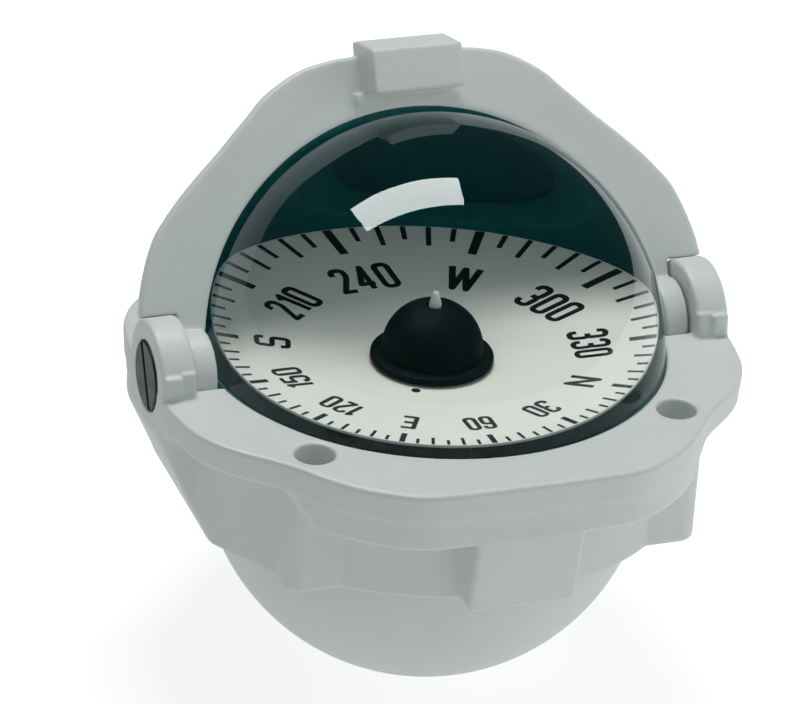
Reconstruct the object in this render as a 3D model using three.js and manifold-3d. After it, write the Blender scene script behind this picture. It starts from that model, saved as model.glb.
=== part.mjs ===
// Flush-mount marine steering compass: white flanged housing, clear fluid dome over a flat card on
// inner gimbals, round bowl below the mounting plane, and a hinged hood standing open behind the
// dome. Millimetres, +Z up, +X right, front at -Y. The origin is the lowest point of the bowl, on
// the compass axis. All pieces are drawn with z = 0 at the flange's top face, then raised together.
import * as THREE from 'three';
import { mergeVertices } from 'three/addons/utils/BufferGeometryUtils.js';
import Module from 'manifold-3d';

const wasm = await Module();
wasm.setup();
const { degToRad, radToDeg } = THREE.MathUtils;

// ---- dimensions shared between sections (*_R radius, *_X, *_Y, *_Z places) ----
const BOWL_DEPTH = 72.3;        // flange top to the bowl's lowest point
const LIP_Z = -6.0;             // underside of the lip round the housing's opening
const STACK_R = 49.1;           // outside of the flanges clamped under the lip
const EAR_IN_X = 53.9;          // inner face of each hinge ear
const HOOD_BOSS_R = 8.0;        // pivot bosses of the hood
const BUSH_R = 5.0;             // outside of the hinge bushes
const SCREW_HEAD_R = 7.15;      // pivot screw heads
const LAMP_Y = -53.5;
const GIMBAL_Z = -16.7;         // height of both gimbal axes
const PIN_R = 1.0;              // gimbal pins
const NEEDLE_R = 0.9;           // pivot needle
const BRACKET_SCREW_X = 6.5;
const BRACKET_HOLE_R = 1.3;
const FILLER_Y = 13.2;          // filler hole in the capsule's floor
const FILLER_HOLE_R = 2.5;
const FIT = 0.08;               // running clearance of the pins
const GAP = 0.3;                // clearance between neighbouring parts
const OVER = 1;                 // overshoot of cutting bodies
const REACH = 70;               // half length of cuts that pass right through

// facets of the rounds
const SEG = { card: 60, large: 40, boss: 32, ring: 28, bush: 24, small: 20, pin: 16, tiny: 12 };

const SIDES = [-1, 1];
const NAMED_SIDES = [['left', -1], ['right', 1]];

// ---- materials ----
const WHITE = 0xd4d9d8;
const BLACK = 0x14181a;
const MATERIALS = {
  white: { color: WHITE, roughness: 0.5 },
  glossBlack: { color: BLACK, roughness: 0.25 },
  screwBlack: { color: BLACK, roughness: 0.35 },
  bezelBlack: { color: BLACK, roughness: 0.45 },
  satinBlack: { color: BLACK, roughness: 0.5 },
  mattBlack: { color: BLACK, roughness: 0.6 },
  clear: { color: 0xe8f2f2, roughness: 0.05, transparent: true, opacity: 0.3 },
  seal: { color: 0x101010, roughness: 0.8 },
  rubber: { color: 0x181818, roughness: 0.85 },
  bracket: { color: 0x2a2e30, roughness: 0.55 },
  bush: { color: 0x3a3f42, roughness: 0.5 },
  brass: { color: 0xb98b3c, roughness: 0.35, metalness: 0.9 },
  steel: { color: 0xc4c8cc, roughness: 0.25, metalness: 1.0 },
  needle: { color: 0xc4c8cc, roughness: 0.2, metalness: 1.0 },
  weight: { color: 0x8a8f94, roughness: 0.5, metalness: 0.8 },
  magnet: { color: 0x6f7478, roughness: 0.35, metalness: 0.9 },
  palePin: { color: 0xd8dcdc, roughness: 0.2 },
  card: { color: 0xe6e6e0, roughness: 0.6 },
  jewel: { color: 0x7a1f2a, roughness: 0.15 },
  redLamp: { color: 0xa02020, roughness: 0.1 },
};

// ---- spans [low, high] along an axis ----
const about = (centre, half) => [centre - half, centre + half];
const centred = (half) => about(0, half);
const onSide = (side, inner, outer) => (side > 0 ? [inner, outer] : [-outer, -inner]);

// ---- outlines ----
// points of a circular arc, angles in degrees
function arcPoints([centreX, centreY], radius, from, to, steps) {
  return Array.from({ length: steps + 1 }, (_, i) => {
    const angle = degToRad(from + (to - from) * i / steps);
    return [centreX + radius * Math.cos(angle), centreY + radius * Math.sin(angle)];
  });
}

// arc of an [r, z] profile about a centre on the axis; 90 degrees is the upper pole
function meridian(radius, centreZ, from, to, steps) {
  return arcPoints([0, centreZ], radius, from, to, steps).map(([r, z]) => [Math.max(0, r), z]);
}

// meridian angle at which a sphere reaches the height z
const angleAt = (z, radius, centreZ) => radToDeg(Math.asin((z - centreZ) / radius));

const toVectors = (points) => points.map(([x, y]) => new THREE.Vector2(x, y));

const smooth = (points, steps) => new THREE.SplineCurve(toVectors(points))
  .getPoints(steps).map(({ x, y }) => [x, y]);

// adds the left half to a right half; points on the mirror line are not repeated
function mirrorX(right) {
  const left = right.filter(([x]) => x > 1e-9).reverse().map(([x, y]) => [-x, y]);
  return [...right, ...left];
}

// four-way mirror of the front right quadrant, listed from the front centre to the right side
function mirrorBoth(quadrant) {
  return mirrorX([...quadrant, ...quadrant.slice(0, -1).reverse().map(([x, y]) => [x, -y])]);
}

// ---- solids ----
// closed, outward-facing manifold from surface geometry
function toSolid(geometry) {
  geometry.deleteAttribute('normal');
  geometry.deleteAttribute('uv');
  const merged = mergeVertices(geometry, 1e-5);
  const { position } = merged.attributes;
  const corners = merged.index.array;
  const triangles = [];
  const [a, b, c] = [0, 1, 2].map(() => new THREE.Vector3());
  let volume = 0;
  for (let i = 0; i < corners.length; i += 3) {
    const [ia, ib, ic] = corners.subarray(i, i + 3);
    // triangles collapsed at a pole are dropped
    if (ia === ib || ib === ic || ia === ic) continue;
    triangles.push(ia, ib, ic);
    a.fromBufferAttribute(position, ia);
    b.fromBufferAttribute(position, ib);
    c.fromBufferAttribute(position, ic);
    volume += a.dot(b.cross(c));
  }
  if (volume < 0) {
    for (let i = 0; i < triangles.length; i += 3) {
      [triangles[i], triangles[i + 1]] = [triangles[i + 1], triangles[i]];
    }
  }
  return new wasm.Manifold(new wasm.Mesh({
    numProp: 3,
    vertProperties: new Float32Array(position.array),
    triVerts: new Uint32Array(triangles),
  }));
}

// body of revolution about Z from an [r, z] profile, which is closed here
function revolve(profile, segments = SEG.large) {
  const geometry = new THREE.LatheGeometry(toVectors([...profile, profile[0]]), segments);
  return toSolid(geometry.rotateX(Math.PI / 2));
}

function tube([inner, outer], [z0, z1], segments) {
  return revolve([[inner, z0], [outer, z0], [outer, z1], [inner, z1]], segments);
}

const mid = ([low, high]) => (low + high) / 2;
const rod = (radius, [low, high], segments) =>
  new THREE.CylinderGeometry(radius, radius, high - low, segments);

function rodX(radius, span, [y, z] = [0, 0], segments = SEG.pin) {
  return toSolid(rod(radius, span, segments).rotateZ(-Math.PI / 2).translate(mid(span), y, z));
}

function rodY(radius, span, [x, z] = [0, 0], segments = SEG.pin) {
  return toSolid(rod(radius, span, segments).translate(x, mid(span), z));
}

function rodZ(radius, span, [x, y] = [0, 0], segments = SEG.pin) {
  return toSolid(rod(radius, span, segments).rotateX(Math.PI / 2).translate(x, y, mid(span)));
}

function box(...spans) {
  const geometry = new THREE.BoxGeometry(...spans.map(([low, high]) => high - low));
  return toSolid(geometry.translate(...spans.map(mid)));
}

const extrude = (outline, [low, high]) => new THREE.ExtrudeGeometry(
  new THREE.Shape(toVectors(outline)), { depth: high - low, bevelEnabled: false });

// prism along Z; the draft draws its lower end in towards the axis
function prismZ(outline, span, draft = 0) {
  const geometry = extrude(outline, span).translate(0, 0, span[0]);
  const { position } = geometry.attributes;
  for (let i = 0; i < position.count; i++) {
    if (position.getZ(i) >= mid(span)) continue;
    const x = position.getX(i);
    const y = position.getY(i);
    const scale = 1 - draft / Math.hypot(x, y);
    position.setXY(i, x * scale, y * scale);
  }
  return toSolid(geometry);
}

// prism along X from an outline in (y, z)
function prismX(outline, span) {
  const swapAxes = new THREE.Matrix4().set(0, 0, 1, 0, 1, 0, 0, 0, 0, 1, 0, 0, 0, 0, 0, 1);
  return toSolid(extrude(outline, span).translate(0, 0, span[0]).applyMatrix4(swapAxes));
}

// prism along Y from an outline in (x, z)
function prismY(outline, span) {
  return toSolid(extrude(outline, span).translate(0, 0, -span[1]).rotateX(Math.PI / 2));
}

const root = new THREE.Group();
root.position.z = BOWL_DEPTH;

function part(name, solid, material, parent = root) {
  const { vertProperties, triVerts } = solid.getMesh();
  const geometry = new THREE.BufferGeometry();
  const positions = new Float32Array(vertProperties);
  geometry.setAttribute('position', new THREE.BufferAttribute(positions, 3));
  geometry.setIndex(new THREE.BufferAttribute(new Uint32Array(triVerts), 1));
  geometry.computeVertexNormals();
  const mesh = new THREE.Mesh(geometry, new THREE.MeshStandardMaterial(material));
  mesh.name = name;
  parent.add(mesh);
}

// ---- housing ----
const BASE_Z = -29.0;           // mounting plane under the skirt and bosses
const RIM_Z = -12.5;            // lower edge of the front and rear aprons
const RIM_THIN_Z = -6.4;        // lower edge of the rim beside the ears
const RIM_OVERLAP = 0.5;        // the lower body and the apron ends run into the thin rim
const RIM_DRAFT = 0.7;          // inward draft of the rim wall, over the full apron height
const APRON_X = 39.8;           // half width of each apron at its lower edge
const APRON_TOP_X = APRON_X + 3.8;
const OPENING_R = 48.0;         // opening in the flange
const BORE_R = 49.4;            // bore under the lip that takes the capsule
const SKIRT_R = 53.3;
const EAR_X = 61.0;             // outer face of each hinge ear
const EAR_SEAM_X = 57.1;        // step between the two stop blocks
const STOP_X = 60.6;            // outer face of the outer stop block
const BARREL_R = 11.5;          // ear barrel
const HOLE_XY = 38.2;           // mounting hole centres, in x and in y
const HOLE_R = 4.0;             // counterbore of each mounting hole
const HOLE_FLOOR_Z = -5.0;
const SCREW_HOLE_R = 1.9;
const BOSS_X = 44.0;            // side of each screw boss
const BOSS_Y = 42.3;            // flat of each screw boss
const BOSS_FILLET = 4.2;
const BUTTRESS_Y = 15.3;        // half width of the buttress under each ear
const SLANT_Z = -10.8;          // top of the slanted side planes
const SLANT = 0.456;            // x per z of the slanted side planes
const SLANT_OUT_X = 80;         // outer limit of the slanted cuts
const BLOCK_X = 11.2;           // half width of the front block
const CHAMBER_FRONT_Y = -56.2;  // front wall of the lamp chamber

// rim plan [x, y], front centre to the right ear
const RIM_CURVE = [
  [0, -60.5], [10, -60.5], [19.5, -60.2], [25, -58.8], [30, -56], [35, -52.3], [39.4, -47.6],
  [42.8, -43.2], [47.1, -38.6], [51.9, -34.3], [56.0, -29.5], [58.9, -23.6], [60.3, -17.5],
  [61, -12],
];
// side of the lower body [x, y], from a screw boss out to the buttress
const LOWER_SIDE = [
  [BOSS_X, -34.3], [55.5, -BUTTRESS_Y], [60.4, -BUTTRESS_Y], [60.7, -11.5], [60.7, 0],
];
// front block [y, z], flush with the apron and tapering to the mounting plane
const BLOCK_PROFILE = [
  [-51.5, RIM_Z + 0.6], [-59.8, RIM_Z + 0.6], [-59.8, RIM_Z], [-57.3, BASE_Z], [-51.5, BASE_Z],
];

// thin beside the ears, reaching lower as an apron at the front and at the rear
function rim() {
  const outline = mirrorBoth([...smooth(RIM_CURVE, 20), [EAR_X, 0]]);
  const apronLimits = mirrorX([
    [APRON_X, RIM_Z - OVER], [APRON_X, RIM_Z],
    [APRON_TOP_X, RIM_THIN_Z - RIM_OVERLAP], [APRON_TOP_X, OVER],
  ]);
  return prismZ(outline, [RIM_Z, 0], RIM_DRAFT)
    .intersect(prismY(apronLimits, centred(REACH)))
    .add(prismZ(outline, [RIM_THIN_Z, 0], RIM_DRAFT * RIM_THIN_Z / RIM_Z));
}

// skirt, screw bosses and buttresses
function lowerBody() {
  const skirtEnd = -radToDeg(Math.asin(BOSS_Y / SKIRT_R));
  const filletCentre = [BOSS_X - BOSS_FILLET, BOSS_FILLET - BOSS_Y];
  const outline = mirrorBoth([
    ...arcPoints([0, 0], SKIRT_R, -90, skirtEnd, 7),
    ...arcPoints(filletCentre, BOSS_FILLET, -90, 0, 6),
    ...LOWER_SIDE,
  ]);
  return prismZ(outline, [BASE_Z, RIM_THIN_Z + RIM_OVERLAP]);
}

function slantCut(side) {
  const bottomZ = BASE_Z - OVER;
  const bottomX = EAR_X + SLANT * (bottomZ - SLANT_Z);
  const outline = [
    [EAR_X, SLANT_Z], [bottomX, bottomZ], [SLANT_OUT_X, bottomZ], [SLANT_OUT_X, SLANT_Z],
  ].map(([x, z]) => [side * x, z]);
  return prismY(outline, centred(REACH));
}

// hinge ear with its two stop blocks
function ear(side) {
  return rodX(BARREL_R, onSide(side, EAR_IN_X, EAR_X), [0, 0], SEG.large)
    .add(box(onSide(side, EAR_SEAM_X, STOP_X), [-11.8, -4], [-1, 5.0]))
    .add(box(onSide(side, EAR_IN_X, EAR_SEAM_X), [-11.0, -4], [-1, 5.4]));
}

// cradle for the hood boss, bush bore and screw head recess, all on the hinge axis
function hingeCuts(side) {
  return rodX(HOOD_BOSS_R + 0.35, onSide(side, 46, EAR_IN_X), [0, 0], SEG.boss)
    .add(rodX(BUSH_R + 0.3, onSide(side, EAR_IN_X - OVER, 59.2), [0, 0], SEG.bush))
    .add(rodX(SCREW_HEAD_R + 0.15, onSide(side, 58.9, EAR_X + OVER), [0, 0], SEG.boss));
}

function mountingHole(x, y) {
  return rodZ(HOLE_R, [HOLE_FLOOR_Z, OVER], [x, y], SEG.bush)
    .add(rodZ(SCREW_HOLE_R, [BASE_Z - OVER, 0], [x, y]));
}

function housing() {
  let body = rim().add(lowerBody());
  for (const side of SIDES) body = body.subtract(slantCut(side));
  body = body.add(prismX(BLOCK_PROFILE, centred(BLOCK_X)));
  for (const side of SIDES) body = body.add(ear(side));
  body = body
    .subtract(rodZ(OPENING_R, [LIP_Z - OVER, 20], [0, 0], SEG.large))
    .subtract(rodZ(BORE_R, [BASE_Z - OVER, LIP_Z], [0, 0], SEG.large));
  for (const side of SIDES) {
    body = body.subtract(hingeCuts(side));
    for (const end of SIDES) body = body.subtract(mountingHole(side * HOLE_XY, end * HOLE_XY));
  }
  // lamp chamber in the front block, open below, with a light channel up to the dome's flange
  return body
    .subtract(box(centred(7.3), [CHAMBER_FRONT_Y, -50.9], [BASE_Z - OVER, -14]))
    .subtract(box(centred(3), [CHAMBER_FRONT_Y, -48.2], [-14.5, -7.2]));
}

part('housing', housing(), MATERIALS.white);

// ---- capsule stack under the lip ----
// each flange hangs one gap below the piece above it
function flangeBelow(aboveZ, thickness) {
  const top = aboveZ - GAP;
  return { top, bottom: top - thickness };
}
const DOME_FLANGE = flangeBelow(LIP_Z, 2.3);
const SEAL = flangeBelow(DOME_FLANGE.bottom, 1.0);
const CAPSULE_FLANGE = flangeBelow(SEAL.bottom, 2.4);
const BOWL_FLANGE = flangeBelow(CAPSULE_FLANGE.bottom, 2.4);
const RETAINER = flangeBelow(BOWL_FLANGE.bottom, 4.7);

const DOME_R = 47.6;            // outside of the dome
const DOME_ZC = -0.4;           // centre of the dome sphere, close to the hinge axis
const DOME_IN_R = DOME_R - 2.3;
const CAPSULE_R = 43.8;         // outside of the capsule base
const CAPSULE_ZC = -6.0;
const CAPSULE_IN_R = CAPSULE_R - 1.6;
const FLOOR_Z = -44.3;          // capsule floor, inside
const CAPSULE_END_R = 17;       // flat lower end of the capsule
const CAPSULE_END_Z = -51.5;
const CAPSULE_HOLE_R = 4;       // central hole through the floor
const BOWL_R = 46.4;            // outside of the bowl
const BOWL_ZC = BOWL_R - BOWL_DEPTH;
const BOWL_IN_R = BOWL_R - 2.2;

function dome() {
  let shell = revolve([
    ...meridian(DOME_R, DOME_ZC, 90, 0, 9), [DOME_R, DOME_FLANGE.top],
    [STACK_R, DOME_FLANGE.top], [STACK_R, DOME_FLANGE.bottom], [DOME_IN_R, DOME_FLANGE.bottom],
    ...meridian(DOME_IN_R, DOME_ZC, 0, 90, 7),
  ]);
  // key flats beside the hood bosses
  for (const side of SIDES) {
    shell = shell.subtract(box(onSide(side, 48.1, 52), centred(20), [-10, -4]));
  }
  return shell;
}

function capsuleBase() {
  const innerBottom = angleAt(FLOOR_Z, CAPSULE_IN_R, CAPSULE_ZC);
  const innerTop = angleAt(CAPSULE_FLANGE.top, CAPSULE_IN_R, CAPSULE_ZC);
  const outerTop = angleAt(CAPSULE_FLANGE.bottom, CAPSULE_R, CAPSULE_ZC);
  const outerBottom = -radToDeg(Math.acos(CAPSULE_END_R / CAPSULE_R));
  let base = revolve([
    [CAPSULE_HOLE_R, FLOOR_Z], ...meridian(CAPSULE_IN_R, CAPSULE_ZC, innerBottom, innerTop, 5),
    [STACK_R, CAPSULE_FLANGE.top], [STACK_R, CAPSULE_FLANGE.bottom],
    ...meridian(CAPSULE_R, CAPSULE_ZC, outerTop, outerBottom, 5),
    [CAPSULE_END_R, CAPSULE_END_Z], [CAPSULE_HOLE_R, CAPSULE_END_Z],
  ]);
  for (const side of SIDES) {
    const screwHole = rodZ(BRACKET_HOLE_R, [-48.5, FLOOR_Z + OVER], [side * BRACKET_SCREW_X, 0]);
    base = base.subtract(screwHole);
  }
  return base.subtract(rodZ(FILLER_HOLE_R, [-53, FLOOR_Z + OVER], [0, FILLER_Y]));
}

function bowl() {
  return revolve([
    [STACK_R, BOWL_FLANGE.top], [STACK_R, BOWL_FLANGE.bottom], [BOWL_R, BOWL_FLANGE.bottom],
    ...meridian(BOWL_R, BOWL_ZC, 0, -90, 9), ...meridian(BOWL_IN_R, BOWL_ZC, -90, 0, 7),
    [BOWL_IN_R, BOWL_FLANGE.top],
  ]);
}

// ring with four holes on its centre line, open below
function retainingRing() {
  let ring = tube([46.9, STACK_R], [RETAINER.bottom, RETAINER.top]);
  for (const centre of arcPoints([0, 0], 48, 0, 270, 3)) {
    ring = ring.subtract(rodZ(1.6, [-22, -18], centre, SEG.tiny));
  }
  return ring;
}

// the bezel ring stands inside the foot of the dome
part('bezel_ring', tube([43.9, 45.0], [SEAL.bottom, -1.8]), MATERIALS.bezelBlack);
part('dome', dome(), MATERIALS.clear);
part('dome_seal', tube([46.3, STACK_R], [SEAL.bottom, SEAL.top]), MATERIALS.seal);
part('capsule_base', capsuleBase(), MATERIALS.satinBlack);
part('bowl', bowl(), MATERIALS.white);
part('retaining_ring', retainingRing(), MATERIALS.mattBlack);

// ---- expansion diaphragm and filler plug under the capsule ----
const DIAPHRAGM_R = 9.6;
const DIAPHRAGM_PROFILE = [
  [0, -54.6], [3.5, -54.6], [5.2, -53.2], [DIAPHRAGM_R, -53.2], [DIAPHRAGM_R, -51.9],
  [4.8, -51.9], [3.1, -53.4], [0, -53.4],
];

function fillerPlug() {
  return rodZ(2.2, [-52.5, -46], [0, FILLER_Y])
    .add(rodZ(3.4, [-54.6, -52.4], [0, FILLER_Y]))
    .subtract(box(centred(4), about(FILLER_Y, 0.4), [-55, -53.8]));
}

function fillerWasher() {
  return rodZ(3.3, [-52.2, -51.7], [0, FILLER_Y])
    .subtract(rodZ(FILLER_HOLE_R, [-53, -51], [0, FILLER_Y]));
}

part('diaphragm', revolve(DIAPHRAGM_PROFILE, SEG.bush), MATERIALS.rubber);
const clampRing = tube([6.2, DIAPHRAGM_R], [-55.4, -53.5], SEG.bush);
part('diaphragm_ring', clampRing, MATERIALS.mattBlack);
part('filler_plug', fillerPlug(), MATERIALS.brass);
part('filler_plug_washer', fillerWasher(), MATERIALS.rubber);

// ---- gimbal bracket ----
const ARM_OUT_Y = 16.6;         // outer and inner faces of the upright arms
const ARM_IN_Y = 13.6;
const BRACKET_TOP_Z = -40.2;    // top of the bracket's base
const THROUGH_BASE = [-46, -39];

function gimbalBracket() {
  let bracket = rodZ(9, [-44, BRACKET_TOP_Z], [0, 0], SEG.boss)
    .add(box(centred(3.2), centred(ARM_OUT_Y), [-42.6, BRACKET_TOP_Z]));
  for (const end of SIDES) {
    bracket = bracket
      .add(box(centred(3), onSide(end, ARM_IN_Y, ARM_OUT_Y), [-42, GIMBAL_Z + 1.9]))
      .subtract(rodY(PIN_R + FIT, onSide(end, 12, 18), [0, GIMBAL_Z]));
  }
  for (const side of SIDES) {
    bracket = bracket.subtract(rodZ(BRACKET_HOLE_R, THROUGH_BASE, [side * BRACKET_SCREW_X, 0]));
  }
  return bracket.subtract(rodZ(3, THROUGH_BASE));
}

function bracketScrew(side) {
  const x = side * BRACKET_SCREW_X;
  return rodZ(1.0, [-48, -39.6], [x, 0])
    .add(rodZ(1.9, [-39.9, -38.5], [x, 0]))
    .subtract(box(about(x, 3), centred(0.25), [-39, -38]));
}

part('gimbal_bracket', gimbalBracket(), MATERIALS.bracket);
for (const [name, side] of NAMED_SIDES) {
  part(`bracket_screw_${name}`, bracketScrew(side), MATERIALS.brass);
}

// ---- gimbal ring, its pins, and the pivot carrier ----
// profiles here are [r, z above the gimbal axes]
const fromGimbal = (profile) => profile.map(([r, z]) => [r, GIMBAL_Z + z]);
const CARRIER_PROFILE = fromGimbal([
  [0, -2.6], [5.2, -2.6], [6.2, -1.6], [6.2, 1.6], [5.0, 2.6], [0, 2.6],
]);
const COUNTERWEIGHT_PROFILE = fromGimbal([
  [1.9, -15], [5.2, -15], [6, -14.2], [6, -11], [7.5, -10.2], [7.5, -6.8], [6.7, -6], [1.9, -6],
]);
const NEEDLE_PROFILE = [
  [0, GIMBAL_Z - 1.3], [NEEDLE_R, GIMBAL_Z - 1.3], [NEEDLE_R, -8.2], [0.1, -5.45], [0, -5.45],
];

function gimbalRing() {
  return tube([10.4, 12.6], about(GIMBAL_Z, 1.5), SEG.ring)
    .subtract(rodX(PIN_R + FIT, centred(20), [0, GIMBAL_Z]))
    .subtract(rodY(PIN_R + FIT, centred(20), [0, GIMBAL_Z]));
}

// hub with an arm to each side, a stem below and a socket for the needle
function pivotCarrier() {
  let carrier = revolve(CARRIER_PROFILE, SEG.small)
    .add(box(centred(9.9), centred(2.1), about(GIMBAL_Z, 1.6)))
    .add(rodZ(1.6, [GIMBAL_Z - 15.6, GIMBAL_Z - 2]));
  for (const side of SIDES) {
    carrier = carrier.subtract(rodX(PIN_R + FIT, onSide(side, 6.6, 12), [0, GIMBAL_Z]));
  }
  return carrier.subtract(rodZ(NEEDLE_R + FIT, [GIMBAL_Z - 1.5, GIMBAL_Z + 4]));
}

part('gimbal_ring', gimbalRing(), MATERIALS.brass);
for (const [name, end] of [['front', -1], ['rear', 1]]) {
  const pin = rodY(PIN_R, onSide(end, 10.9, 16.2), [0, GIMBAL_Z]);
  part(`gimbal_pin_${name}`, pin, MATERIALS.steel);
}
part('pivot_carrier', pivotCarrier(), MATERIALS.brass);
for (const [name, side] of NAMED_SIDES) {
  const pin = rodX(PIN_R, onSide(side, 6.9, 12.3), [0, GIMBAL_Z]);
  part(`carrier_pin_${name}`, pin, MATERIALS.steel);
}
part('counterweight', revolve(COUNTERWEIGHT_PROFILE, SEG.bush), MATERIALS.weight);
part('pivot_needle', revolve(NEEDLE_PROFILE, SEG.tiny), MATERIALS.needle);

// ---- card, its float hub, pin, jewel and magnets ----
const CARD_R = 31.9;
const CARD_Z = -3.36;           // upper face of the card
const CARD_T = 0.6;
const HUB_R = 7.2;              // float dome on the card, and the neck through it
const HUB_RING_R = 8.7;
const HUB_ZC = -1.0;
const HUB_BOTTOM_Z = -8.5;
const HUB_PROFILE = [
  [0, 5.1], [1.2, 5.1], ...meridian(HUB_R, HUB_ZC, 80.4, -6.4, 6),
  [HUB_RING_R, -1.9], [HUB_RING_R, -3.0], [HUB_R, CARD_Z + GAP], [HUB_R, HUB_BOTTOM_Z],
  [3.2, HUB_BOTTOM_Z], [3.2, -4.7], [0, -4.7],
];
const HUB_PIN_PROFILE = [[0, 5.4], [0.95, 5.4], [0.95, 6.2], [0.42, 8.2], [0, 8.2]];
const JEWEL_PROFILE = [[0, -5.2], [1.4, -6.9], [2.9, -6.9], [2.9, -5.0], [0, -5.0]];
const MAGNET_X = 4.2;
const MAGNET_TOP_Z = HUB_BOTTOM_Z - GAP;

part('card_hub', revolve(HUB_PROFILE, SEG.ring), MATERIALS.glossBlack);
part('hub_pin', revolve(HUB_PIN_PROFILE, SEG.pin), MATERIALS.palePin);
const cardDisc = tube([HUB_R + GAP, CARD_R], [CARD_Z - CARD_T, CARD_Z], SEG.card);
part('card_disc', cardDisc, MATERIALS.card);
part('jewel_cup', revolve(JEWEL_PROFILE, SEG.pin), MATERIALS.jewel);
for (const [name, side] of NAMED_SIDES) {
  const zSpan = [MAGNET_TOP_Z - 2.2, MAGNET_TOP_Z];
  part(`magnet_${name}`, box(about(side * MAGNET_X, 1.1), centred(5), zSpan), MATERIALS.magnet);
}

// ---- hood, drawn with its rim plane upright (y = 0) and the hinge axis on X ----
const HOOD_IN_R = 48.5;         // inside of the hood shell, measured from the hinge centre
const HOOD_OUT_R = 50.5;
const HOOD_SPAN = 60.5;         // degrees of shell behind the rim plane
const HOOD_TILT = 27.5;         // degrees the open rim plane leans back from upright
const HOOD_RIM_T = 3.0;
const HOOD_BOSS_IN_X = 48.4;
const HOOD_BOSS_OUT_X = 53.5;
const HOOD_CUT_R = 11.9;        // hood ends clear the ear barrels
const HOOD_FOOT_Z = 11.0;       // lower end of the rim plate outside the bosses
const WEDGE = 150;              // reach of the wedge that bounds the shell
const PIVOT_R = 3.0;            // shank of the pivot screws

// outer edge of the rim plate [radius, degrees], right foot to top centre
const HOOD_EDGE = [
  [62.3, 14], [62.3, 25], [61.5, 30], [60.6, 35], [59.8, 40], [59.2, 47], [59.9, 55],
  [61.0, 60], [61.6, 66], [61.7, 70], [61.2, 75], [60.3, 82], [60.0, 90],
];
// grip block at the top of the rim [y, z]
const GRIP_PROFILE = [
  [-9.4, 51.3], [-9.4, 60.2], [0, 62.6], [HOOD_RIM_T, 62.6], [HOOD_RIM_T, 51.3],
];

const sphere = (radius) => revolve(meridian(radius, 0, 90, -90, 20));

// sphere shell between the rim plane and a second plane behind it
function hoodShell() {
  const angle = degToRad(HOOD_SPAN);
  const wedge = [
    [0, 0], [WEDGE * Math.sin(angle), WEDGE * Math.cos(angle)], [WEDGE, WEDGE], [0, WEDGE],
  ];
  return sphere(HOOD_OUT_R).subtract(sphere(HOOD_IN_R)).intersect(prismX(wedge, centred(60)));
}

function hoodRim() {
  const edge = HOOD_EDGE.map(([radius, degrees]) => {
    const angle = degToRad(degrees);
    return [radius * Math.cos(angle), radius * Math.sin(angle)];
  });
  const outline = [
    ...mirrorX([
      [HOOD_BOSS_IN_X, 0], [HOOD_BOSS_OUT_X, 0], [HOOD_BOSS_OUT_X, HOOD_FOOT_Z],
      [61.1, HOOD_FOOT_Z], ...smooth(edge, 20),
    ]),
    // rough inner edge, trimmed by the sphere below
    ...arcPoints([0, 0], HOOD_IN_R - 3, 180, 0, 12).slice(1, -1),
  ];
  return prismY(outline, [0, HOOD_RIM_T]).subtract(sphere(HOOD_IN_R));
}

function hood() {
  let body = hoodRim().add(hoodShell());
  for (const side of SIDES) {
    const bossSpan = onSide(side, HOOD_BOSS_IN_X, HOOD_BOSS_OUT_X);
    body = body
      .subtract(rodX(HOOD_CUT_R, onSide(side, HOOD_BOSS_OUT_X, REACH), [0, 0], SEG.large))
      .add(rodX(HOOD_BOSS_R, bossSpan, [0, 0], SEG.boss))
      .subtract(rodX(PIVOT_R + GAP, onSide(side, 49.7, 60), [0, 0], SEG.small));
  }
  // grip block and its lower strip
  return body
    .add(prismX(GRIP_PROFILE, centred(9.7)))
    .add(box(centred(11.4), [-1.6, 1], [49.4, 52]));
}

function pivotBush(side) {
  return rodX(BUSH_R, onSide(side, 54.1, 58.8), [0, 0], SEG.bush)
    .subtract(rodX(PIVOT_R + FIT, onSide(side, 53, 60), [0, 0], SEG.bush));
}

function pivotScrew(side) {
  return rodX(PIVOT_R, onSide(side, 50.0, 59.6), [0, 0], SEG.bush)
    .add(rodX(SCREW_HEAD_R, onSide(side, 59.3, 61.3), [0, 0], SEG.boss))
    .subtract(box(onSide(side, 60.4, 62), centred(0.65), centred(8)));
}

const hoodFrame = new THREE.Group();
hoodFrame.rotation.x = -degToRad(HOOD_TILT);
root.add(hoodFrame);
part('hood', hood(), MATERIALS.white, hoodFrame);
for (const [name, side] of NAMED_SIDES) {
  part(`pivot_bush_${name}`, pivotBush(side), MATERIALS.bush);
  part(`pivot_screw_${name}`, pivotScrew(side), MATERIALS.screwBlack, hoodFrame);
}

// ---- lamp in the front block ----
const LAMP_R = 2.4;
const TERMINAL_X = 3.2;

function lampHolder() {
  let holder = box(centred(7), [-55.9, -51.2], [-27.5, -17.2])
    .subtract(rodZ(LAMP_R + GAP, [-22, -16], [0, LAMP_Y]));
  for (const side of SIDES) {
    const slot = box(about(side * TERMINAL_X, 1.3), about(LAMP_Y, 0.6), [-29, -23.5]);
    holder = holder.subtract(slot);
  }
  return holder;
}

function lamp() {
  const profile = [[0, -21.7], [LAMP_R, -21.7], ...meridian(LAMP_R, -14.2, 0, 90, 4)];
  return revolve(profile, SEG.small).translate([0, LAMP_Y, 0]);
}

part('lamp_holder', lampHolder(), MATERIALS.mattBlack);
part('lamp', lamp(), MATERIALS.redLamp);
for (const [name, side] of NAMED_SIDES) {
  const terminal = box(about(side * TERMINAL_X, 1.0), about(LAMP_Y, 0.3), [-28.7, -23.8]);
  part(`lamp_terminal_${name}`, terminal, MATERIALS.brass);
}

export default root;
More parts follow.
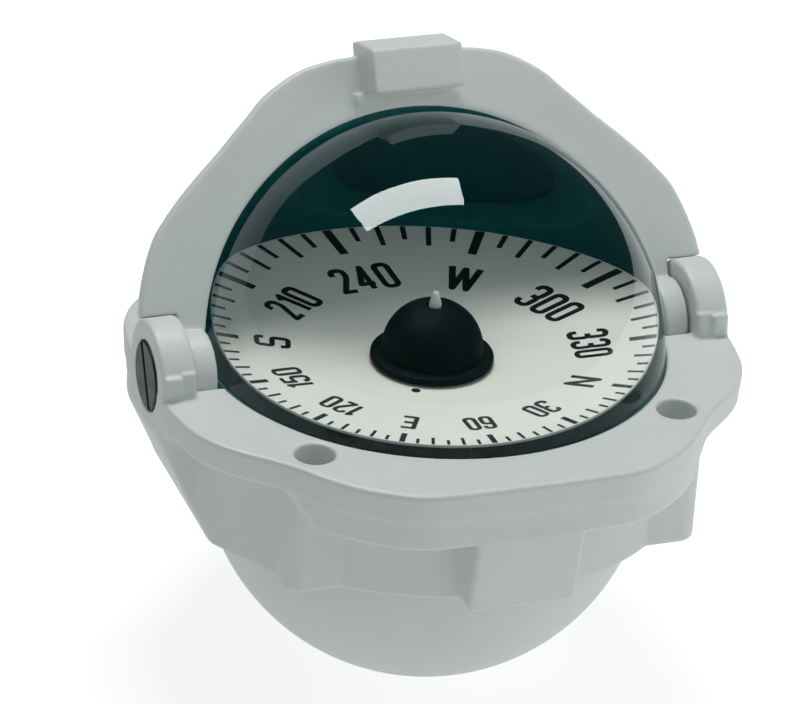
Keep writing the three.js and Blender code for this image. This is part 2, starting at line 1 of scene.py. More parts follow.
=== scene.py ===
"""Flush-mount marine steering compass: a square flanged housing, a domed capsule with a floating card
and a hood that swings on two side screws.

Shape code is in millimetres: +X right, -Y front, z = 0 on the flange's top face, and the hinge along
the X axis. make_object() lifts the shapes to stand on the bowl's lowest point and turns them into
metres. Moulded parts are signed distance fields meshed as quads; turned parts are lathed outlines.
"""
import bpy
import math
import numpy as np
from mathutils import Matrix, Vector
from mathutils.geometry import delaunay_2d_cdt


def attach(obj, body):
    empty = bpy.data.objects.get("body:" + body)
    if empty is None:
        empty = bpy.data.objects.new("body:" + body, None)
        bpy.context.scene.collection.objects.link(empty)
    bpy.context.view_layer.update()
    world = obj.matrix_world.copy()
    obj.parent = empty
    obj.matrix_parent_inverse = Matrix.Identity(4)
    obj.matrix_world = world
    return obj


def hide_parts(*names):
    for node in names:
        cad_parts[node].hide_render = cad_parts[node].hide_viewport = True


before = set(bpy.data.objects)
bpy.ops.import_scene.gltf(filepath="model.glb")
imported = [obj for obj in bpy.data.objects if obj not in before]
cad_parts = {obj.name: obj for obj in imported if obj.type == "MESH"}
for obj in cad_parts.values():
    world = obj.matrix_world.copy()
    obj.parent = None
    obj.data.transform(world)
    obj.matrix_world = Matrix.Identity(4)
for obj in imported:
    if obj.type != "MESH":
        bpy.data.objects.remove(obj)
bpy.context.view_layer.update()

# ------------------------------------------------------------------ driving sizes, mm

MM = 0.001
CELL = 0.45          # grid step of the housing and hood
SCREW_CELL = 0.22

BOWL_R, BOWL_Z = 46.4, -25.9           # outer radius and centre height of the bowl's round bottom
BOWL_INNER_R = 44.2
DEPTH = BOWL_R - BOWL_Z                # flange top above the bowl's lowest point
SEAT_R = 49.1                          # shared outer radius of the bowl, dome and capsule rims

DOME_R, DOME_Z, DOME_WALL = 47.6, -0.4, 2.3
DOME_FLAT_X = 48.1                     # the dome's rim is flattened left and right to this

CAPSULE_INNER_R, CAPSULE_OUTER_R, CAPSULE_Z = 42.2, 43.8, -6.0
CAPSULE_TOP, CAPSULE_LIP = -10.2, -12.6
CAPSULE_FLOOR, CAPSULE_BOTTOM = -44.3, -51.5
CAPSULE_HOLE_R, CAPSULE_BOSS_R = 4, 17

RIM_X = 61.0                           # half the flange's width
RIM_BOTTOM = -12.5                     # underside of the flange's rim
EAR_R, EAR_INNER_X = 11.5, 53.9        # round hinge ears of the housing
HOOD_SIDE_X = 53.5                     # hood's outer side face beside each ear
PIVOT_R = 8.0                          # hood's round pivot, which turns in the ear
SCREW_HEAD_R = 7.15
GAP = 0.15                             # clearance around the ear and the screw head

TILT = math.radians(27.5)              # backward lean of the hood's open rim plane
HOOD_MID_R, HOOD_HALF_WALL = 49.5, 1.0
HOOD_INNER_R = HOOD_MID_R - HOOD_HALF_WALL
HOOD_FACE_Y = 0.3                      # front edge of the hood's shell

CARD_R, CARD_HOLE_R = 31.9, 7.5
CARD_BOTTOM, CARD_TOP = -3.96, -3.36

# ------------------------------------------------------------------ mesh helpers


def make_object(name, verts, faces, body, finishes, replaces=None, smooth=True, in_hood=False):
    """Adds a mesh; faces are an (n, 4) array or a list. in_hood: verts are in the hood's leaning frame."""
    points = np.asarray(verts, np.float64).copy()
    if in_hood:
        cos, sin = math.cos(TILT), math.sin(TILT)
        y, z = points[:, 1].copy(), points[:, 2].copy()
        points[:, 1] = y * cos + z * sin
        points[:, 2] = -y * sin + z * cos
    points[:, 2] += DEPTH
    points *= MM
    mesh = bpy.data.meshes.new(name)
    if isinstance(faces, np.ndarray):
        count = len(faces)
        mesh.vertices.add(len(points))
        mesh.vertices.foreach_set("co", points.astype(np.float32).ravel())
        mesh.loops.add(count * 4)
        mesh.loops.foreach_set("vertex_index", faces.astype(np.int32).ravel())
        mesh.polygons.add(count)
        mesh.polygons.foreach_set("loop_start", np.arange(0, 4 * count, 4, dtype=np.int32))
    else:
        mesh.from_pydata([tuple(point) for point in points], [], faces)
    mesh.update(calc_edges=True)
    mesh.validate()
    mesh.polygons.foreach_set("use_smooth", np.full(len(mesh.polygons), smooth))
    ob = bpy.data.objects.new(name, mesh)
    bpy.context.scene.collection.objects.link(ob)
    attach(ob, body)
    if replaces:
        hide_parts(replaces)
    for finish in finishes:
        mesh.materials.append(finish)
    return ob


def arc(cx, cy, r, start, end, steps=4):
    """Points of an arc; start and end in degrees."""
    angles = [math.radians(start + (end - start) * i / steps) for i in range(steps + 1)]
    return [(cx + r * math.cos(a), cy + r * math.sin(a)) for a in angles]


def fillet(outline, radius, steps):
    """Rounds the corners of a closed (radius, z) outline that turn 24 degrees or more, off the axis."""
    rounded = []
    count = len(outline)
    for i in range(count):
        before, here, after = (np.array(outline[(i + k) % count], float) for k in (-1, 0, 1))
        back, ahead = before - here, after - here
        back_len, ahead_len = np.linalg.norm(back), np.linalg.norm(ahead)
        back, ahead = back / back_len, ahead / ahead_len
        turn = math.pi - math.acos(max(-1.0, min(1.0, float(back @ ahead))))
        if math.degrees(turn) < 24.0 or abs(here[0]) < 1e-9:
            rounded.append(tuple(here))
            continue
        reach = min(radius * math.tan(turn / 2), 0.45 * back_len, 0.45 * ahead_len)
        fitted = reach / math.tan(turn / 2)
        middle = (back + ahead) / np.linalg.norm(back + ahead)
        centre = here + middle * (fitted / math.cos(turn / 2))
        first, last = here + back * reach - centre, here + ahead * reach - centre
        start, end = math.atan2(first[1], first[0]), math.atan2(last[1], last[0])
        while end - start > math.pi:
            end -= 2 * math.pi
        while end - start < -math.pi:
            end += 2 * math.pi
        for k in range(steps + 1):
            a = start + (end - start) * k / steps
            rounded.append((centre[0] + fitted * math.cos(a), centre[1] + fitted * math.sin(a)))
    return rounded


def lathe(outline, segments):
    """Turns a closed (radius, z) outline about Z. Returns verts and faces."""
    outline = list(outline)
    following = outline[1:] + outline[:1]
    if sum(r0 * z1 - r1 * z0 for (r0, z0), (r1, z1) in zip(outline, following)) < 0:
        outline.reverse()
    verts, rings = [], []
    for r, z in outline:
        if r < 1e-7:
            rings.append([len(verts)] * segments)
            verts.append((0.0, 0.0, z))
        else:
            rings.append(list(range(len(verts), len(verts) + segments)))
            verts += [(r * math.cos(2 * math.pi * k / segments),
                       r * math.sin(2 * math.pi * k / segments), z) for k in range(segments)]
    faces = []
    for i, ring in enumerate(rings):
        upper = rings[(i + 1) % len(rings)]
        if ring[0] == ring[1] and upper[0] == upper[1]:
            continue
        for k in range(segments):
            j = (k + 1) % segments
            face = [ring[k], ring[j], upper[j], upper[k]]
            faces.append([index for n, index in enumerate(face) if index != face[n - 1]])
    return verts, faces


def turned_piece(name, outline, body, node, finish, segments, radius=0.3, steps=3):
    """A lathed piece with its outline's corners rounded by radius."""
    verts, faces = lathe(fillet(outline, radius, steps), segments)
    make_object(name, verts, faces, body, [finish], node)


def spline(points, pieces):
    """Uniform Catmull-Rom curve through the points."""
    knots = [np.array(point, float) for point in points]
    last = len(knots) - 1
    curve = []
    for i in range(pieces + 1):
        at = last * i / pieces
        k = min(int(at), last - 1)
        w = at - k
        p0, p1, p2, p3 = knots[max(k - 1, 0)], knots[k], knots[k + 1], knots[min(k + 2, last)]
        v0, v1 = (p2 - p0) * 0.5, (p3 - p1) * 0.5
        point = ((2 * p1 - 2 * p2 + v0 + v1) * w ** 3 + (-3 * p1 + 3 * p2 - 2 * v0 - v1) * w ** 2
                 + v0 * w + p1)
        curve.append((float(point[0]), float(point[1])))
    return curve


def mirror_quarter(quarter):
    """Closed outline from its front right quarter, which runs from the Y axis to the X axis."""
    right = list(quarter) + [(x, -y) for x, y in reversed(quarter[:-1])]
    return right + [(-x, y) for x, y in reversed(right[1:-1])]


# ------------------------------------------------------------------ distance fields


class Grid:
    """Sample points of a box; x, y and z broadcast against each other."""

    def __init__(self, lo, hi, step):
        self.step = step
        self.axes = [np.arange(a - 2.37 * step, b + 2.6 * step, step).astype(np.float32)
                     for a, b in zip(lo, hi)]
        self.x = self.axes[0][:, None, None]
        self.y = self.axes[1][None, :, None]
        self.z = self.axes[2][None, None, :]

    def prism(self, outline, along):
        """Distance to an endless prism that runs along one axis (0, 1 or 2)."""
        first, second = [axis for i, axis in enumerate(self.axes) if i != along]
        return np.expand_dims(outline_distance(first, second, outline), along)


def join(a, b, blend):
    mix = np.maximum(blend - np.abs(a - b), 0) / blend
    return np.minimum(a, b) - mix * mix * (blend / 4)


def overlap(a, b, blend):
    mix = np.maximum(blend - np.abs(a - b), 0) / blend
    return np.maximum(a, b) + mix * mix * (blend / 4)


def cut(a, tool, blend):
    return overlap(a, -tool, blend)


def length(*parts):
    total = parts[0] * parts[0]
    for part in parts[1:]:
        total = total + part * part
    return np.sqrt(total)


def extrude(a, b, radius):
    """Overlap of a and b, with the edge between them rounded by radius."""
    a, b = a + radius, b + radius
    outside = np.sqrt(np.maximum(a, 0) ** 2 + np.maximum(b, 0) ** 2)
    return np.minimum(np.maximum(a, b), 0) + outside - radius


def slab(v, lo, hi):
    return np.maximum(lo - v, v - hi)


def box(*spans, radius=0.0):
    """Rounded box from three (coordinate, low, high) spans."""
    a, b, c = [slab(*span) + radius for span in spans]
    inside = np.minimum(np.maximum(np.maximum(a, b), c), 0)
    outside = np.sqrt(np.maximum(a, 0) ** 2 + np.maximum(b, 0) ** 2 + np.maximum(c, 0) ** 2)
    return inside + outside - radius


def outline_distance(rows, columns, outline):
    """Signed distance from each point of rows x columns to a closed outline."""
    across, upward = np.meshgrid(rows, columns, indexing="ij")
    squared = np.full(across.shape, 1e12, np.float32)
    inside = np.zeros(across.shape, bool)
    points = [(float(a), float(b)) for a, b in outline]
    for i, (x1, y1) in enumerate(points):
        x0, y0 = points[i - 1]
        dx, dy = x1 - x0, y1 - y0
        edge = dx * dx + dy * dy
        if edge < 1e-12:
            continue
        to_x, to_y = across - x0, upward - y0
        t = np.clip((to_x * dx + to_y * dy) / edge, 0, 1)
        np.minimum(squared, (to_x - dx * t) ** 2 + (to_y - dy * t) ** 2, out=squared)
        if y0 != y1:
            inside ^= ((upward >= min(y0, y1)) & (upward < max(y0, y1))
                       & (across < x0 + (upward - y0) * (dx / dy)))
    distance = np.sqrt(squared)
    return np.where(inside, -distance, distance)


def surface(grid, field):
    """Quads over the zero level of the field, with each vertex moved onto the level."""
    inside = field < 0
    shape = np.array(field.shape)
    corners = [(i, j, k) for i in (0, 1) for j in (0, 1) for k in (0, 1)]
    count = np.zeros(shape - 1, np.int8)
    for i, j, k in corners:
        count += inside[i:shape[0] - 1 + i, j:shape[1] - 1 + j, k:shape[2] - 1 + k]
    crossed = (count > 0) & (count < 8)
    cells = np.argwhere(crossed)
    vertex_id = np.full(crossed.shape, -1, np.int32)
    vertex_id[crossed] = np.arange(len(cells), dtype=np.int32)

    # Start each vertex at the mean of the crossings on its cell's edges.
    values = np.stack([field[cells[:, 0] + i, cells[:, 1] + j, cells[:, 2] + k]
                       for i, j, k in corners], 1)
    places = np.array(corners, np.float64)
    total, crossings = np.zeros((len(cells), 3)), np.zeros(len(cells))
    for a in range(8):
        for b in range(a + 1, 8):
            if np.abs(places[a] - places[b]).sum() != 1:
                continue
            va, vb = values[:, a], values[:, b]
            hit = (va < 0) != (vb < 0)
            t = (va[hit] / (va[hit] - vb[hit]))[:, None]
            total[hit] += places[a] + t * (places[b] - places[a])
            crossings[hit] += 1
    start = cells + total / crossings[:, None]

    # One quad around each grid edge that crosses the level.
    quads = []
    for axis in range(3):
        u, w = (axis + 1) % 3, (axis + 2) % 3
        lower, upper = [slice(None)] * 3, [slice(None)] * 3
        lower[axis], upper[axis] = slice(0, -1), slice(1, None)
        below, above = inside[tuple(lower)], inside[tuple(upper)]
        edges = np.argwhere(below != above)
        edges = edges[(edges[:, u] > 0) & (edges[:, w] > 0)
                      & (edges[:, u] < shape[u] - 1) & (edges[:, w] < shape[w] - 1)]
        ring = []
        for du, dw in ((0, 0), (1, 0), (1, 1), (0, 1)):
            cell = edges.copy()
            cell[:, u] -= du
            cell[:, w] -= dw
            ring.append(vertex_id[cell[:, 0], cell[:, 1], cell[:, 2]])
        quad = np.stack(ring, 1)
        outward = below[edges[:, 0], edges[:, 1], edges[:, 2]]
        quad[~outward] = quad[~outward][:, ::-1]
        quads.append(quad)

    # Newton steps on the trilinear field, held close to the start.
    verts = start.copy()
    for _ in range(4):
        cell = np.clip(np.floor(verts).astype(np.int64), 0, shape - 2)
        part = verts - cell
        at = {c: field[cell[:, 0] + c[0], cell[:, 1] + c[1], cell[:, 2] + c[2]].astype(np.float64)
              for c in corners}
        weight = [(1 - part[:, axis], part[:, axis]) for axis in range(3)]
        value = sum(at[i, j, k] * weight[0][i] * weight[1][j] * weight[2][k] for i, j, k in corners)
        pairs = [(j, k) for j in (0, 1) for k in (0, 1)]
        gx = sum((at[1, j, k] - at[0, j, k]) * weight[1][j] * weight[2][k] for j, k in pairs)
        gy = sum((at[j, 1, k] - at[j, 0, k]) * weight[0][j] * weight[2][k] for j, k in pairs)
        gz = sum((at[j, k, 1] - at[j, k, 0]) * weight[0][j] * weight[1][k] for j, k in pairs)
        steepness = np.maximum(gx * gx + gy * gy + gz * gz, 1e-6)
        move = np.stack([gx, gy, gz], 1) * (-value / steepness)[:, None]
        verts = start + np.clip(verts + np.clip(move, -0.4, 0.4) - start, -0.9, 0.9)
    origin = np.array([axis[0] for axis in grid.axes], np.float64)
    return origin + verts * grid.step, np.concatenate(quads)


# ------------------------------------------------------------------ shader helpers


def empty_tree(owner):
    owner.use_nodes = True
    owner.node_tree.nodes.clear()
    return owner.node_tree


def add_node(tree, kind, inputs=None, **settings):
    """Adds a shader node; an input given as a socket is linked, any other is set."""
    node = tree.nodes.new("ShaderNode" + kind)
    for key, value in settings.items():
        setattr(node, key, value)
    for key, value in (inputs or {}).items():
        if isinstance(value, bpy.types.NodeSocket):
            tree.links.new(value, node.inputs[key])
        else:
            node.inputs[key].default_value = value
    return node


def add_noise(tree, coords, scale, detail, roughness=0.5):
    inputs = {"Vector": coords, "Scale": scale, "Detail": detail, "Roughness": roughness}
    return add_node(tree, "TexNoise", inputs).outputs["Fac"]


def add_range(tree, value, source, target):
    """Maps value from the (low, high) source range to the target range."""
    return add_node(tree, "MapRange", {
        "Value": value, "From Min": source[0], "From Max": source[1],
        "To Min": target[0], "To Max": target[1]}).outputs["Result"]


def add_bump(tree, bsdf, height, strength, distance):
    """Lays a bump over whatever already feeds the shader's normal."""
    bump = add_node(tree, "Bump", {"Height": height, "Strength": strength, "Distance": distance})
    normal = bsdf.inputs["Normal"]
    if normal.is_linked:
        tree.links.new(normal.links[0].from_socket, bump.inputs["Normal"])
    tree.links.new(bump.outputs["Normal"], normal)


def material(name, color, rough=0.5, metal=0.0, spec=0.5, vary=0.04, vary_scale=90.0, rough_vary=0.06,
             rough_scale=400.0, bumps=((2600.0, 0.05, 0.00006),), extra=None):
    """Finish with mottled colour, uneven roughness and bump grains, all in object space.

    vary is the colour's share of change and rough_vary the roughness's change, each way.
    Each of the bumps is (noise scale, strength, distance in metres).
    """
    mat = bpy.data.materials.new(name)
    tree = empty_tree(mat)
    out = add_node(tree, "OutputMaterial")
    bsdf = add_node(tree, "BsdfPrincipled",
                    {"Metallic": metal, "IOR": 1.5, "Specular IOR Level": spec})
    tree.links.new(bsdf.outputs[0], out.inputs[0])
    coords = add_node(tree, "TexCoord").outputs["Object"]
    mottle = add_noise(tree, coords, vary_scale, detail=5.0, roughness=0.6)
    ramp = add_node(tree, "ValToRGB", {"Fac": mottle})
    for stop, position, gain in zip(ramp.color_ramp.elements, (0.3, 0.7), (1 - vary, 1 + vary)):
        stop.position = position
        stop.color = (*(c * gain for c in color), 1)
    tree.links.new(ramp.outputs["Color"], bsdf.inputs["Base Color"])
    wear = add_noise(tree, coords, rough_scale, detail=3.0)
    uneven = add_range(tree, wear, (0.3, 0.7), (rough - rough_vary, rough + rough_vary))
    tree.links.new(uneven, bsdf.inputs["Roughness"])
    for scale, strength, distance in bumps:
        add_bump(tree, bsdf, add_noise(tree, coords, scale, detail=2.0), strength, distance)
    if extra:
        extra(tree, bsdf, coords)
    return mat


def tool_marks(tree, bsdf, coords):
    """Fine concentric marks for turned metal."""
    wave = add_node(tree, "TexWave", {"Scale": 900.0, "Distortion": 0.6, "Detail": 2.0,
                                      "Vector": coords}, wave_type="RINGS", rings_direction="Z")
    add_bump(tree, bsdf, wave.outputs["Fac"], strength=0.15, distance=0.00003)


def dome_outer_material():
    """Bends light into the damping fluid as the camera sees it, but lets light on its way in pass."""
    mat = bpy.data.materials.new("clear_dome_outer_face")
    tree = empty_tree(mat)
    out = add_node(tree, "OutputMaterial")
    clear = add_node(tree, "BsdfTransparent", {"Color": (0.98, 0.985, 0.985, 1)})
    glass = add_node(tree, "BsdfGlass", {"IOR": 1.45, "Color": (0.94, 1.0, 1.0, 1)})
    coords = add_node(tree, "TexCoord").outputs["Object"]
    haze = add_noise(tree, coords, scale=30.0, detail=2.0)
    tree.links.new(add_range(tree, haze, (0.4, 0.7), (0.0, 0.015)), glass.inputs["Roughness"])
    path = add_node(tree, "LightPath").outputs
    passing = add_node(tree, "Math", {0: path["Is Shadow Ray"], 1: path["Is Diffuse Ray"]},
                       operation="MAXIMUM")
    mix = add_node(tree, "MixShader",
                   {"Fac": passing.outputs[0], 1: glass.outputs[0], 2: clear.outputs[0]})
    tree.links.new(mix.outputs[0], out.inputs[0])
    return mat


def dome_inner_material():
    """The inner face meets fluid of nearly the same index, so it doesn't bend light."""
    mat = bpy.data.materials.new("clear_dome_wetted_face")
    tree = empty_tree(mat)
    clear = add_node(tree, "BsdfTransparent", {"Color": (0.985, 0.995, 0.995, 1)})
    add_node(tree, "OutputMaterial", {0: clear.outputs[0]})
    return mat


FINISH = {
    "white": material("white_moulded_plastic", color=(0.655, 0.675, 0.665), rough=0.46, spec=0.4,
                      vary=0.02, vary_scale=38.0, rough_vary=0.05, rough_scale=260.0,
                      bumps=((240.0, 0.05, 0.0002), (3200.0, 0.10, 0.00005))),
    "black": material("black_moulded_plastic", color=(0.012, 0.03, 0.031), rough=0.42, spec=0.35,
                      vary=0.15, vary_scale=120.0, bumps=((2600.0, 0.06, 0.00005),)),
    "capsule": material("capsule_black_plastic", color=(0.010, 0.200, 0.225), rough=0.55, spec=0.12,
                        vary=0.15, vary_scale=60.0, bumps=((1800.0, 0.06, 0.00005),)),
    "bezel": material("bezel_dark_plastic", color=(0.006, 0.125, 0.138), rough=0.55, spec=0.12,
                      vary=0.12, vary_scale=80.0, bumps=((2200.0, 0.05, 0.00005),)),
    "hood_lining": material("hood_dark_lining", color=(0.010, 0.125, 0.128), rough=0.6, spec=0.15,
                            vary=0.15, vary_scale=60.0, bumps=((1500.0, 0.10, 0.00006),)),
    "hub": material("float_black_plastic", color=(0.002, 0.008, 0.008), rough=0.55, spec=0.03,
                    vary=0.2, vary_scale=200.0, bumps=((900.0, 0.08, 0.00006),)),
    "screw": material("screw_black_plastic", color=(0.012, 0.030, 0.032), rough=0.42, spec=0.28,
                      vary=0.15, vary_scale=300.0, bumps=((2200.0, 0.12, 0.00006),)),
    "card": material("card_white", color=(0.93, 0.86, 0.81), rough=0.65, spec=0.1, vary=0.012,
                     vary_scale=70.0, bumps=((3000.0, 0.03, 0.00003),)),
    "ink": material("card_black_ink", color=(0.006, 0.012, 0.012), rough=0.5, spec=0.1, vary=0.2,
                    vary_scale=900.0, bumps=((5000.0, 0.05, 0.00002),)),
    "pin": material("pale_pin_plastic", color=(0.62, 0.64, 0.64), rough=0.2, vary=0.05,
                    vary_scale=600.0),
    "rubber": material("black_rubber", color=(0.02, 0.02, 0.02), rough=0.8, spec=0.2, vary=0.2,
                       vary_scale=300.0, bumps=((900.0, 0.3, 0.0001),)),
    "gimbal": material("blackened_brass", color=(0.010, 0.085, 0.092), rough=0.55, spec=0.15,
                       vary=0.1, vary_scale=200.0),
    "seal": material("dome_seal_rubber", color=(0.008, 0.085, 0.092), rough=0.7, spec=0.1, vary=0.1,
                     vary_scale=200.0),
    "brass": material("machined_brass", color=(0.56, 0.38, 0.13), rough=0.3, metal=1.0, vary=0.08,
                      vary_scale=250.0, extra=tool_marks),
    "steel": material("ground_steel", color=(0.56, 0.57, 0.58), rough=0.22, metal=1.0, vary=0.05,
                      vary_scale=350.0, extra=tool_marks),
    "lead": material("cast_lead", color=(0.20, 0.21, 0.22), rough=0.55, metal=0.9, vary=0.15,
                     vary_scale=180.0, bumps=((500.0, 0.35, 0.0002),)),
    "magnet": material("sintered_magnet", color=(0.12, 0.125, 0.13), rough=0.45, metal=0.85,
                       vary=0.15, vary_scale=300.0, bumps=((1500.0, 0.2, 0.0001),)),
    "nylon": material("dark_nylon", color=(0.05, 0.055, 0.06), vary=0.12, vary_scale=300.0),
    "jewel": material("ruby_jewel", color=(0.35, 0.03, 0.05), rough=0.08, spec=0.8, vary=0.15,
                      vary_scale=700.0, rough_vary=0.03, bumps=()),
    "lamp": material("red_lamp_lens", color=(0.45, 0.04, 0.04), rough=0.12, spec=0.6, vary=0.1,
                     vary_scale=400.0, rough_vary=0.04, bumps=()),
    "dome_outer": dome_outer_material(),
    "dome_inner": dome_inner_material(),
}

# ------------------------------------------------------------------ housing

# (x, y) of the flange's front right quarter
RIM_KNOTS = [
    (0, -60.5), (10, -60.5), (19.5, -60.2), (25, -58.8), (30, -56), (35, -52.3), (39.4, -47.6),
    (42.8, -43.2), (47.1, -38.6), (51.9, -34.3), (56.0, -29.5), (58.9, -23.6), (60.3, -17.5),
    (61, -12)]
# (x, y) of the skirt's side, from its rounded corner to the X axis
SKIRT_SIDE = [(44.0, -34.3), (55.5, -15.3), (60.4, -15.3), (60.7, -11.5), (60.7, 0)]
SKIRT_R = 53.3                          # front and back curve of the skirt
SKIRT_CORNER_X, SKIRT_CORNER_Y, SKIRT_CORNER_R = 39.8, -38.1, 4.2
# (y, z) section of the block below the flange's front edge
FRONT_BLOCK = [(-51.5, -8.0), (-59.6, -8.0), (-59.85, -12.5), (-57.3, -29), (-51.5, -29)]
FRONT_BLOCK_X = 11.2
SIDE_SLOPE, SIDE_SLOPE_Z = 0.456, -10.8  # inward slope of the sides, and where it meets RIM_X
CORNER_HOLE_XY, CORNER_HOLE_R, COUNTERBORE_R = 38.2, 1.9, 4.0


def flange_field(grid):
    z = grid.z
    outline = grid.prism(mirror_quarter(spline(RIM_KNOTS, 90) + [(61, 0)]), along=2)
    wall = outline + 0.7 * np.clip(-z / -RIM_BOTTOM, 0, 1)    # draft
    # The deep part of the rim is narrower than the top, and widens upward.
    apron = np.abs(grid.x) - 39.8 - 3.8 * np.clip((z - RIM_BOTTOM) / 5.6, 0, 1)
    rim = overlap(extrude(wall, slab(z, RIM_BOTTOM, 0), 0.7), apron, 0.8)
    return join(rim, extrude(wall, slab(z, -6.4, 0), 0.7), 0.5)


def skirt_field(grid):
    corner_front = SKIRT_CORNER_R - SKIRT_CORNER_Y
    arc_end = math.degrees(math.asin(corner_front / SKIRT_R))
    quarter = (arc(0, 0, SKIRT_R, -90, -arc_end, 24)
               + arc(SKIRT_CORNER_X, SKIRT_CORNER_Y, SKIRT_CORNER_R, -90, 0, 16) + SKIRT_SIDE)
    return extrude(grid.prism(mirror_quarter(quarter), along=2), slab(grid.z, -29, -3), 0.55)


def add_housing():
    grid = Grid((-61.6, -61.2, -29.3), (61.6, 61.2, 11.8), CELL)
    x, y, z = grid.x, grid.y, grid.z
    abs_x = np.abs(x)
    field = join(flange_field(grid), skirt_field(grid), 1.0)
    slant = (abs_x - RIM_X - SIDE_SLOPE * (z - SIDE_SLOPE_Z)) / math.hypot(1, SIDE_SLOPE)
    field = overlap(field, slant, 0.8)
    block = extrude(grid.prism(FRONT_BLOCK, along=0), abs_x - FRONT_BLOCK_X, 0.7)
    field = join(field, block, 0.5)
    # Hinge ears, with two low steps in front of each
    hinge_r = length(y, z)
    ear = extrude(hinge_r - EAR_R, slab(abs_x, EAR_INNER_X, RIM_X), 0.9)
    field = join(field, ear, 0.7)
    for step in (box((abs_x, 57.1, 60.6), (y, -11.8, -4), (z, -2, 5.0), radius=0.5),
                 box((abs_x, EAR_INNER_X, 57.1), (y, -11.0, -4), (z, -2, 5.4), radius=0.5)):
        field = join(field, step, 0.35)
    # Central opening, wider below the flange
    radius = length(x, y)
    opening = np.minimum(np.maximum(radius - 48.0, -7 - z), np.maximum(radius - 49.4, z + 6))
    field = cut(field, opening, 0.6)
    # Bores of the ear: hood pivot, screw shank and screw head
    pivot_bore = np.maximum(hinge_r - (PIVOT_R + 0.35), slab(abs_x, 44, EAR_INNER_X))
    field = cut(field, pivot_bore, 0.35)
    field = cut(field, np.maximum(hinge_r - 5.3, slab(abs_x, 50, 59.2)), 0.3)
    field = cut(field, np.maximum(hinge_r - (SCREW_HEAD_R + GAP), 58.9 - abs_x), 0.35)
    # Four corner holes, counterbored from above
    hole = length(abs_x - CORNER_HOLE_XY, np.abs(y) - CORNER_HOLE_XY)
    field = cut(field, np.maximum(hole - COUNTERBORE_R, -5.0 - z), 0.7)
    field = cut(field, hole - CORNER_HOLE_R, 0.3)
    # Pocket in the front block and the passage above it
    pocket = box((x, -7.3, 7.3), (y, -56.2, -50.9), (z, -32, -14), radius=0.2)
    field = cut(field, pocket, 0.3)
    passage = box((x, -3, 3), (y, -56.2, -47.0), (z, -14.5, -7.2), radius=0.2)
    field = cut(field, passage, 0.3)
    verts, quads = surface(grid, field)
    make_object("housing_shell", verts, quads, "case", [FINISH["white"]], "housing")


# ------------------------------------------------------------------ hood, in its own leaning frame

# (radius, degrees above +X) of the rim plate's right half, about the hinge axis' centre
PLATE_KNOTS = [
    (62.3, 14), (62.3, 25), (61.5, 30), (60.6, 35), (59.8, 40), (59.2, 47), (59.9, 55), (61.0, 60),
    (61.6, 66), (61.7, 70), (61.2, 75), (60.3, 82), (60.0, 90)]
PLATE_THICK = 3.0
PLATE_FOOT_X, PLATE_FOOT_Z = 61.1, 11.0
# (y, z) section of the tab that stands forward from the plate's top
TAB = [(-9.4, 51.3), (-9.4, 60.2), (0, 62.6), (PLATE_THICK, 62.6), (PLATE_THICK, 51.3)]
TAB_X = 9.7
HOOD_BACK_ANGLE = math.radians(60.5)    # the shell's back edge, from vertical


def add_hood():
    grid = Grid((-62.8, -10.0, -8.4), (62.8, 50.9, 63.0), CELL)
    x, y, z = grid.x, grid.y, grid.z
    abs_x = np.abs(x)
    radius = length(x, y, z)
    # Spherical shell between its front and back planes
    back = y * math.cos(HOOD_BACK_ANGLE) - z * math.sin(HOOD_BACK_ANGLE)
    shell = overlap(np.abs(radius - HOOD_MID_R) - HOOD_HALF_WALL, back, 0.7)
    shell = overlap(shell, HOOD_FACE_Y - y, 0.4)
    # Flat plate around the open rim
    curve = [(r * math.cos(math.radians(a)), r * math.sin(math.radians(a)))
             for r, a in spline(PLATE_KNOTS, 80)]
    foot = [(HOOD_SIDE_X, 0), (HOOD_SIDE_X, PLATE_FOOT_Z), (PLATE_FOOT_X, PLATE_FOOT_Z)]
    outline = foot + curve + [(-px, pz) for px, pz in reversed(foot + curve[:-1])]
    plate = extrude(grid.prism(outline, along=1), slab(y, 0, PLATE_THICK), 0.8)
    plate = overlap(plate, HOOD_INNER_R - radius, 0.6)
    field = join(plate, shell, 0.7)
    # Clearance for the ear, then the pivot with its screw bore
    hinge_r = length(y, z)
    field = cut(field, np.maximum(hinge_r - (EAR_R + GAP), HOOD_SIDE_X - abs_x), 0.4)
    field = join(field, extrude(hinge_r - PIVOT_R, slab(abs_x, 48.4, HOOD_SIDE_X), 0.7), 0.5)
    field = cut(field, np.maximum(hinge_r - 3.3, 49.7 - abs_x), 0.3)
    # Tab on top, with a small lip under it
    field = join(field, extrude(grid.prism(TAB, along=0), abs_x - TAB_X, 0.55), 0.6)
    lip = box((x, -11.4, 11.4), (y, -1.6, 1.0), (z, 49.4, 52.0), radius=0.45)
    field = join(field, lip, 0.4)
    verts, quads = surface(grid, field)
    hood = make_object("hood_shell", verts, quads, "hood",
                       [FINISH["white"], FINISH["hood_lining"]], "hood", in_hood=True)
    # The inner face is dark, except on the pivots.
    dark = ((np.sqrt((verts ** 2).sum(1)) < HOOD_INNER_R + 0.25) & (verts[:, 1] > HOOD_FACE_Y)
            & (np.hypot(verts[:, 1], verts[:, 2]) > PIVOT_R + 0.4))
    hood.data.polygons.foreach_set("material_index", dark[quads].all(1).astype(np.int32))


# ------------------------------------------------------------------ bowl, bezel, dome and capsule


def add_bowl():
    top, lip = -12.9, -15.3
    outline = ([(SEAT_R, top), (SEAT_R, lip), (BOWL_R, lip)]
               + arc(0, BOWL_Z, BOWL_R, 0, -90, 60)
               + arc(0, BOWL_Z, BOWL_INNER_R, -90, 0, 40) + [(BOWL_INNER_R, top)])
    turned_piece("bowl_shell", outline, "case", "bowl", FINISH["white"],
                 segments=240)


